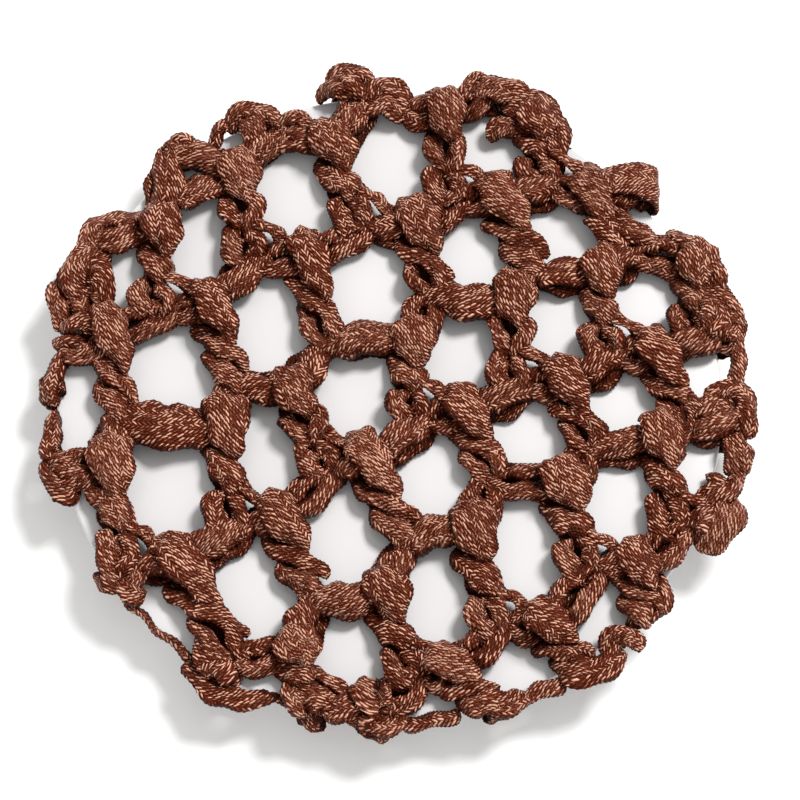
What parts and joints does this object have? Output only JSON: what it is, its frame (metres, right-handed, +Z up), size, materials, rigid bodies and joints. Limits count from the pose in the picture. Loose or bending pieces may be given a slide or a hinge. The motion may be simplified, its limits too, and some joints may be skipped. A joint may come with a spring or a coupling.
{
  "type": "crochet hair snood on a display disc",
  "caption": "Openwork crochet snood that covers a hair bun, held by an elastic edge and stretched over a round white display disc.",
  "frame": {"origin": "middle of the footprint's box, on the surface that the elastic edge rests on", "axes": "+Z up out of the disc's face, +Y towards the net's top edge, where the first row begins"},
  "size_m": [0.1002, 0.0994, 0.0121],
  "materials": {
    "yarn": "knitted tape of shiny reddish-brown rayon, satin sheen",
    "white_plastic": "glossy white",
    "elastic": "dark brown covered elastic, matt"
  },
  "bodies": {
    "root": {"display_disc": "white_plastic", "elastic_band": "elastic", "gathered_edge": "yarn", "top_edge_chain": "yarn", "net_row_1": "yarn", "net_row_2": "yarn", "net_row_3": "yarn", "net_row_4": "yarn", "net_row_5": "yarn", "net_row_6": "yarn"}
  },
  "joints": []
}
